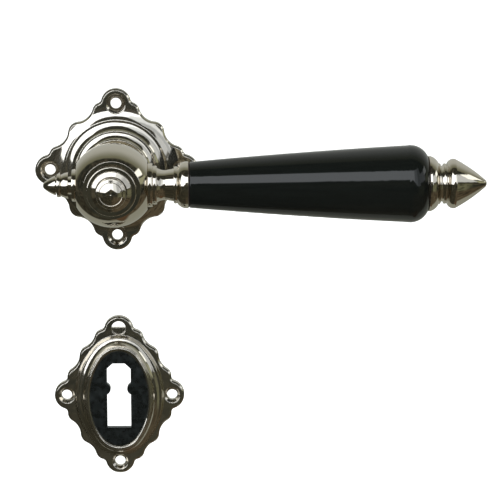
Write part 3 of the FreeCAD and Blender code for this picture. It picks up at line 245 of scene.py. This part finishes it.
FLOOR_BELOW = 0.16
FLOOR_HALF = 6.0
FLOOR_GLOW = 0.7
floor_data = bpy.data.meshes.new("floor")
floor = bpy.data.objects.new("floor", floor_data)
bpy.context.scene.collection.objects.link(floor)
sheet = bmesh.new()
bmesh.ops.create_grid(sheet, x_segments=1, y_segments=1, size=FLOOR_HALF)
bmesh.ops.translate(sheet, verts=sheet.verts, vec=(0, 0, -FLOOR_BELOW))
sheet.to_mesh(floor_data)
sheet.free()
paint, tree, out = new_material("white_studio_paint")
matte = add(tree, "ShaderNodeBsdfDiffuse", {"Color": linear("#ececec")})
glow = add(tree, "ShaderNodeEmission", {"Color": (1, 1, 1, 1),
                                          "Strength": FLOOR_GLOW})
path = add(tree, "ShaderNodeLightPath")
both = add(tree, "ShaderNodeAddShader", {0: matte.outputs[0], 1: glow.outputs[0]})
shade = add(tree, "ShaderNodeMixShader", {0: path.outputs["Is Camera Ray"],
                                          1: matte.outputs[0], 2: both.outputs[0]})
tree.links.new(shade.outputs[0], out.inputs["Surface"])
floor_data.materials.append(paint)
floor.visible_glossy = False

# %% Lamp
LAMP_WIDE, LAMP_TALL = 1.2, 0.8
LAMP_WATTS = 22.0
LAMP_PLACE = (-0.6, -1.2, 1.6)
lamp_data = bpy.data.lights.new("soft_lamp", "AREA")
lamp_data.shape = "RECTANGLE"
lamp_data.size = LAMP_WIDE
lamp_data.size_y = LAMP_TALL
lamp_data.energy = LAMP_WATTS
lamp = bpy.data.objects.new("soft_lamp", lamp_data)
bpy.context.scene.collection.objects.link(lamp)
lamp.location = LAMP_PLACE
lamp.rotation_euler = (AIM - lamp.location).to_track_quat("-Z", "Y").to_euler()
lamp.visible_glossy = False

# %% [markdown]
# ## Finishes
#
# Nickel plate is a warm, slightly yellow white metal. The turned pieces are buffed to a
# mirror, with very fine wipe marks and a faint unevenness that bends the window's edges. The
# two castings are buffed less: part of their light comes back blurred from the cast skin, and
# the sunk field round the keyhole, where no buff reaches, has gone dark. The edges are a
# little soft from buffing, which the Bevel node gives without a change to the solids.


# %% Polished nickel
SMEAR_SIZE, WAVE_SIZE = 140.0, 260.0
TURNED_EDGE, CAST_EDGE = 0.15, 0.3
TURNED_WAVE, CAST_WAVE = 0.05, 0.06
CAST_SKIN = 0.07


def nickel(tree, colour, roughness, edge_mm, wave_mm):
    """Buffed nickel plate on brass: a warm mirror, softened at its edges and a little uneven."""
    place = add(tree, "ShaderNodeTexCoord").outputs["Object"]
    smear = add(tree, "ShaderNodeTexNoise", {"Vector": place, "Scale": SMEAR_SIZE, "Detail": 3.0,
                                             "Roughness": 0.55})
    blur = add(tree, "ShaderNodeMapRange", {0: smear.outputs[0], 1: 0.35, 2: 0.75,
                                            3: roughness * 0.7, 4: roughness * 1.5})
    wave = add(tree, "ShaderNodeTexNoise", {"Vector": place, "Scale": WAVE_SIZE, "Detail": 1.0})
    soft = add(tree, "ShaderNodeBevel", {"Radius": edge_mm * MM}, samples=6)
    buffed = add(tree, "ShaderNodeBump", {"Height": wave.outputs[0], "Strength": 1.0,
                                          "Distance": wave_mm * MM, "Normal": soft.outputs[0]})
    metal = add(tree, "ShaderNodeBsdfPrincipled", {"Base Color": linear(colour), "Metallic": 1.0,
                                                   "Roughness": blur.outputs[0],
                                                   "Normal": buffed.outputs[0]})
    return metal.outputs[0]


def cast_metal(tree):
    """The same plate on a casting: mostly a mirror, with a share of the blurred cast skin."""
    mirror = nickel(tree, "#d6d0c5", 0.065, CAST_EDGE, CAST_WAVE)
    skin = nickel(tree, "#cdc8bc", 0.32, CAST_EDGE, CAST_WAVE)
    mixed = add(tree, "ShaderNodeMixShader", {0: CAST_SKIN, 1: mirror, 2: skin})
    return mixed.outputs[0]


turned_nickel, tree, out = new_material("turned_and_buffed_nickel_plate")
tree.links.new(nickel(tree, "#d4cdc0", 0.05, TURNED_EDGE, TURNED_WAVE), out.inputs["Surface"])

# %% Nickel plate on the castings
cast_nickel, tree, out = new_material("cast_and_buffed_nickel_plate")
tree.links.new(cast_metal(tree), out.inputs["Surface"])

# %% Tarnish in the sunk field of the escutcheon
PITCH = 72.0
FIELD_WIDE, FIELD_TALL = 9.6, 15.9
TARNISH_SIZE = 420.0
tarnished_nickel, tree, out = new_material("nickel_plate_tarnished_in_its_field")
plate = cast_metal(tree)
place = add(tree, "ShaderNodeTexCoord").outputs["Object"]
shifted = add(tree, "ShaderNodeMapping",
              {"Vector": place, "Location": (0.0, 0.0, PITCH / FIELD_TALL),
               "Scale": (1 / (FIELD_WIDE * MM), 0.0, 1 / (FIELD_TALL * MM))})
from_middle = add(tree, "ShaderNodeVectorMath", {0: shifted.outputs[0]}, operation="LENGTH")
in_field = add(tree, "ShaderNodeMapRange", {0: from_middle.outputs["Value"], 1: 0.94, 2: 1.0,
                                            3: 1.0, 4: 0.0}, interpolation_type="SMOOTHSTEP")
blotch = add(tree, "ShaderNodeTexNoise", {"Vector": place, "Scale": TARNISH_SIZE, "Detail": 4.0,
                                          "Roughness": 0.7})
patina = add(tree, "ShaderNodeMix", {0: blotch.outputs[0], 6: linear("#464d52"),
                                     7: linear("#6b7273")}, data_type="RGBA")
dull = add(tree, "ShaderNodeMapRange", {0: blotch.outputs[0], 1: 0.3, 2: 0.7, 3: 0.2, 4: 0.4})
dark = add(tree, "ShaderNodeBsdfPrincipled", {"Base Color": patina.outputs[2], "Metallic": 1.0,
                                              "Roughness": dull.outputs[0]})
worn = add(tree, "ShaderNodeMixShader", {0: in_field.outputs[0], 1: plate,
                                         2: dark.outputs[0]})
tree.links.new(worn.outputs[0], out.inputs["Surface"])


# %% [markdown]
# The grip is a close-grained wood, turned, stained black and polished with shellac: a black
# body whose smooth polish mirrors the window as one long stripe.

# %% Black polished wood
GRAIN_SIZE, GRAIN_STRETCH = 900.0, 0.06
black_wood, tree, out = new_material("black_stained_polished_wood")
place = add(tree, "ShaderNodeTexCoord")
stretched = add(tree, "ShaderNodeMapping", {"Vector": place.outputs["Object"],
                                            "Scale": (GRAIN_STRETCH, 1.0, 1.0)})
grain = add(tree, "ShaderNodeTexNoise", {"Vector": stretched.outputs[0],
                                         "Scale": GRAIN_SIZE, "Detail": 4.0})
tone = add(tree, "ShaderNodeMix", {0: grain.outputs[0], 6: linear("#0b0d0c"),
                                   7: linear("#151816")}, data_type="RGBA")
pores = add(tree, "ShaderNodeBump", {"Height": grain.outputs[0], "Strength": 0.05,
                                     "Distance": 0.02 * MM})
body = add(tree, "ShaderNodeBsdfPrincipled", {"Base Color": tone.outputs[2], "Roughness": 0.07,
                                              "IOR": 1.45, "Normal": pores.outputs[0]})
tree.links.new(body.outputs[0], out.inputs["Surface"])


# %% Hidden metals and fibre
def plain_metal(name, colour, roughness):
    """A metal without polish: zinc plated steel, blackened steel or turned brass."""
    material, tree, out = new_material(name)
    place = add(tree, "ShaderNodeTexCoord")
    turned = add(tree, "ShaderNodeTexNoise", {"Vector": place.outputs["Object"], "Scale": 600.0,
                                              "Detail": 3.0})
    rough = add(tree, "ShaderNodeMapRange", {0: turned.outputs[0], 1: 0.3, 2: 0.7,
                                             3: roughness * 0.8, 4: roughness * 1.25})
    metal = add(tree, "ShaderNodeBsdfPrincipled", {"Base Color": linear(colour), "Metallic": 1.0,
                                                   "Roughness": rough.outputs[0]})
    tree.links.new(metal.outputs[0], out.inputs["Surface"])
    return material


zinc_steel = plain_metal("zinc_plated_steel", "#b9bcbe", 0.28)
black_steel = plain_metal("blackened_steel", "#3a3a3c", 0.3)
turned_brass = plain_metal("turned_brass", "#a3936a", 0.3)

fibre, tree, out = new_material("vulcanised_fibre")
place = add(tree, "ShaderNodeTexCoord")
fleck = add(tree, "ShaderNodeTexNoise", {"Vector": place.outputs["Object"], "Scale": 1500.0})
tone = add(tree, "ShaderNodeMix", {0: fleck.outputs[0], 6: linear("#1d1512"),
                                   7: linear("#3a2a22")}, data_type="RGBA")
card = add(tree, "ShaderNodeBsdfPrincipled", {"Base Color": tone.outputs[2], "Roughness": 0.7})
tree.links.new(card.outputs[0], out.inputs["Surface"])

# %% [markdown]
# ## Each piece gets its finish
#
# The solids keep their meshes, and only their material slots change.

# %% Finishes of the pieces
FINISHES = {
    cast_nickel: ("rose_plate",),
    tarnished_nickel: ("escutcheon_plate",),
    turned_nickel: ("lever_hub", "front_collar", "front_button", "tail_collar", "tail_finial",
                    "neck_sleeve", "neck_ferrule", "end_ferrule", "end_collar", "end_finial"),
    black_wood: ("grip",),
    zinc_steel: ("dished_washer", "retaining_ring", "spindle", "tie_rod", "tail_stud"),
    black_steel: ("thrust_washer", "spindle_grub_screw"),
    turned_brass: ("rose_bush",),
    fibre: ("grip_washer_inner", "grip_washer_outer"),
}
for finish, names in FINISHES.items():
    for name in names:
        nodes[name].data.materials.clear()
        nodes[name].data.materials.append(finish)
    print("%-28s %s" % (finish.name, ", ".join(names)))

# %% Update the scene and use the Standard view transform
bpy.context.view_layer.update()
view = bpy.context.scene.view_settings
view.view_transform = "Standard"
